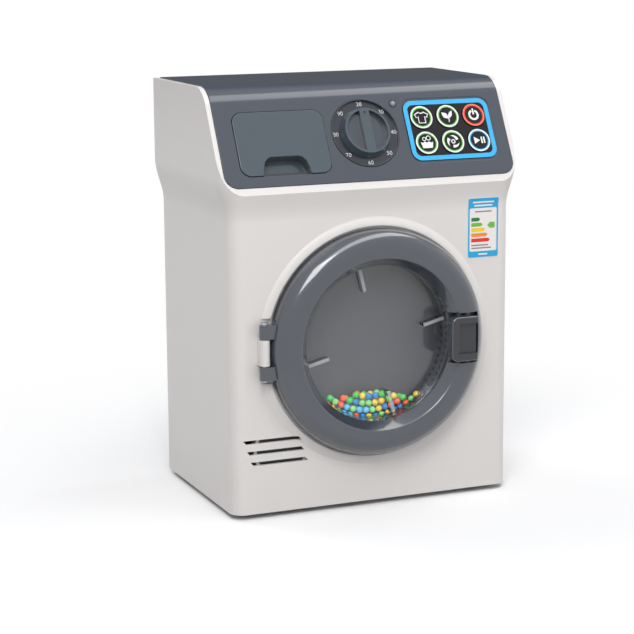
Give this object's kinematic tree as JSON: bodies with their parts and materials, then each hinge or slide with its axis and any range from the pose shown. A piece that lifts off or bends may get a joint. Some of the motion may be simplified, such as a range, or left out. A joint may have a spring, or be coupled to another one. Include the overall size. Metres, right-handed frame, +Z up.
{
  "type": "toy washing machine",
  "caption": "Front-loading toy washing machine with a round hinged door, pull handle, geared bead drum, turning dial, press keys and a sliding detergent drawer.",
  "frame": {"origin": "on the floor under the centre of the machine's outline, at the bottom centre of its bounding box", "axes": "+Z up, front and door face -Y, +X to the right seen from the front"},
  "size_m": [0.187, 0.134, 0.247],
  "materials": {
    "white_shell": "satin moulded ABS",
    "rear_shell": "fine matt moulded ABS",
    "slate_gloss": "high gloss moulded ABS",
    "slate_satin": "gloss moulded ABS",
    "dark_grey": "satin moulded ABS",
    "clear_styrene": "clear polished polystyrene",
    "drum_grey": "satin moulded ABS",
    "bead_mix": "gloss polystyrene in five colours",
    "steel": "turned steel",
    "screw_zinc": "zinc plated",
    "bronze": "sintered bronze",
    "pinion_brass": "cut brass",
    "acetal": "moulded acetal",
    "frame_grey": "moulded ABS",
    "motor_can": "plated steel can",
    "switch_black": "black moulded",
    "key_green": "printed cap",
    "key_red": "printed cap",
    "key_blue": "printed cap",
    "board_green": "laminate",
    "silicone": "soft silicone",
    "foot_rubber": "soft rubber",
    "lamp_lens": "milky lens",
    "cell_jacket": "printed jacket",
    "label_print": "printed sticker",
    "lead_red": "PVC covered wire"
  },
  "bodies": {
    "housing": {"cabinet": "white_shell", "rear_cover": "rear_shell", "base_plate": "rear_shell", "feet": "foot_rubber", "control_panel": "slate_gloss", "hinge_bracket": "white_shell", "hinge_pin": "steel", "latch_keeper": "dark_grey", "drum_beads": "bead_mix", "drum_bush": "bronze", "drum_support": "frame_grey", "idler_axle": "steel", "motor": "motor_can", "gear_plate": "frame_grey", "dial_plate": "dark_grey", "dial_switch": "switch_black", "drawer_housing": "dark_grey", "key_plate": "switch_black", "key_board": "board_green", "key_domes": "silicone", "status_led": "lamp_lens", "speaker": "switch_black", "speaker_ring": "frame_grey", "main_board": "board_green", "battery_box": "rear_shell", "batteries": "cell_jacket", "battery_contacts": "steel", "cabinet_screws": "screw_zinc", "energy_label": "label_print", "leads": "lead_red"},
    "door": {"door_ring": "slate_gloss", "door_liner": "dark_grey", "handle_pin": "steel", "handle_spring": "steel"},
    "handle": {"door_handle": "dark_grey"},
    "drum": {"drum_cover": "clear_styrene", "drum_tub": "drum_grey", "drum_shaft": "steel", "drum_gear": "acetal"},
    "idler": {"idler_gear": "acetal"},
    "rotor": {"motor_pinion": "pinion_brass"},
    "knob": {"dial_knob": "slate_satin"},
    "drawer": {"detergent_drawer": "slate_satin"},
    "bay_cover": {"battery_cover": "rear_shell", "cover_screw": "screw_zinc"},
    "key_shirt_body": {"key_shirt": "key_green"},
    "key_leaf_body": {"key_leaf": "key_green"},
    "key_power_body": {"key_power": "key_red"},
    "key_wash_body": {"key_wash": "key_green"},
    "key_spin_body": {"key_spin": "key_green"},
    "key_play_body": {"key_play": "key_blue"}
  },
  "joints": [
    {"name": "door_hinge", "type": "hinge", "parent": "housing", "child": "door", "pos_m": [-0.0702, -0.0535, 0.0985], "axis": [0, 0, -1], "range_deg": [0, 105]},
    {"name": "handle_pull", "type": "hinge", "parent": "door", "child": "handle", "pos_m": [0.0488, -0.0604, 0.0985], "axis": [0, 0, -1], "range_deg": [0, 14], "stiffness_Nm_per_rad": 0.05},
    {"name": "drum_spin", "type": "hinge", "parent": "housing", "child": "drum", "pos_m": [0, 0, 0.0985], "axis": [0, 1, 0], "continuous": true},
    {"name": "idler_spin", "type": "hinge", "parent": "housing", "child": "idler", "pos_m": [-0.018, -0.018, 0.06732], "axis": [0, 1, 0], "continuous": true},
    {"name": "rotor_spin", "type": "hinge", "parent": "housing", "child": "rotor", "pos_m": [0.006, -0.013, 0.06732], "axis": [0, 1, 0], "continuous": true},
    {"name": "dial_turn", "type": "hinge", "parent": "housing", "child": "knob", "pos_m": [0, -0.03677, 0.21848], "axis": [0, -0.8805, 0.4741], "continuous": true},
    {"name": "drawer_slide", "type": "slide", "parent": "housing", "child": "drawer", "axis": [0, -0.8805, 0.4741], "range_m": [0, 0.022]},
    {"name": "battery_cover_hinge", "type": "hinge", "parent": "housing", "child": "bay_cover", "pos_m": [0.042, 0.064, 0.0705], "axis": [1, 0, 0], "range_deg": [0, 80]},
    {"name": "key_shirt_press", "type": "slide", "parent": "housing", "child": "key_shirt_body", "axis": [0, 0.8805, -0.4741], "range_m": [0, 0.0008], "stiffness_N_per_m": 250},
    {"name": "key_leaf_press", "type": "slide", "parent": "housing", "child": "key_leaf_body", "axis": [0, 0.8805, -0.4741], "range_m": [0, 0.0008], "stiffness_N_per_m": 250},
    {"name": "key_power_press", "type": "slide", "parent": "housing", "child": "key_power_body", "axis": [0, 0.8805, -0.4741], "range_m": [0, 0.0008], "stiffness_N_per_m": 250},
    {"name": "key_wash_press", "type": "slide", "parent": "housing", "child": "key_wash_body", "axis": [0, 0.8805, -0.4741], "range_m": [0, 0.0008], "stiffness_N_per_m": 250},
    {"name": "key_spin_press", "type": "slide", "parent": "housing", "child": "key_spin_body", "axis": [0, 0.8805, -0.4741], "range_m": [0, 0.0008], "stiffness_N_per_m": 250},
    {"name": "key_play_press", "type": "slide", "parent": "housing", "child": "key_play_body", "axis": [0, 0.8805, -0.4741], "range_m": [0, 0.0008], "stiffness_N_per_m": 250}
  ],
  "couplings": [
    {"joint": "idler_spin", "follows": "drum_spin", "ratio": -5},
    {"joint": "rotor_spin", "follows": "drum_spin", "ratio": 15}
  ]
}
